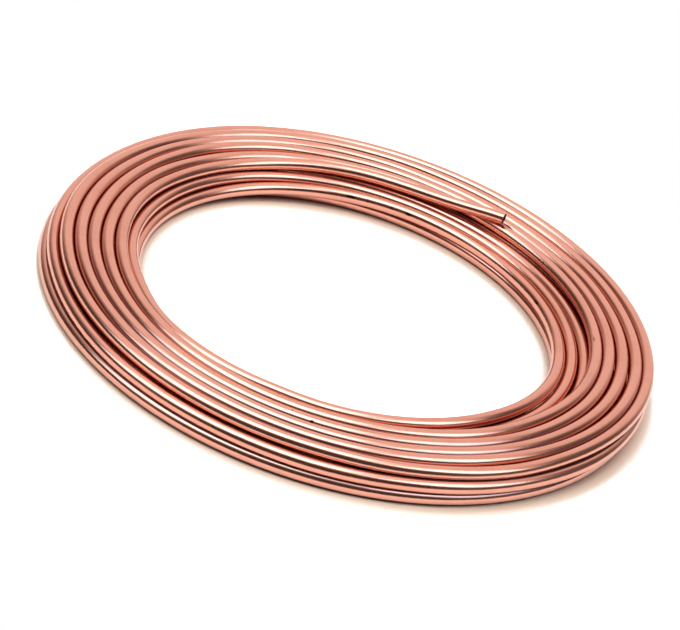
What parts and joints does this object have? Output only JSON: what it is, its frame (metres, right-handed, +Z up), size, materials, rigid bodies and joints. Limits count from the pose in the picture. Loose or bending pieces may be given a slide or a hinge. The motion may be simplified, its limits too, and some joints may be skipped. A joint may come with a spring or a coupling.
{
  "type": "copper tube coil",
  "caption": "Flat round coil of soft copper tube, its turns nested in layers round an open eye, with a cut free end climbing off the top layer.",
  "frame": {"origin": "on the floor, under the middle of the coil's eye", "axes": "+Z up along the axis that the tube is wound round; +X points to the side that the cut free end points towards, and the free end lies at +Y"},
  "size_m": [0.472, 0.472, 0.0384],
  "materials": {
    "copper": "bright drawn copper, soft temper, lightly toned"
  },
  "bodies": {
    "root": {"copper_tube": "copper"}
  },
  "joints": []
}
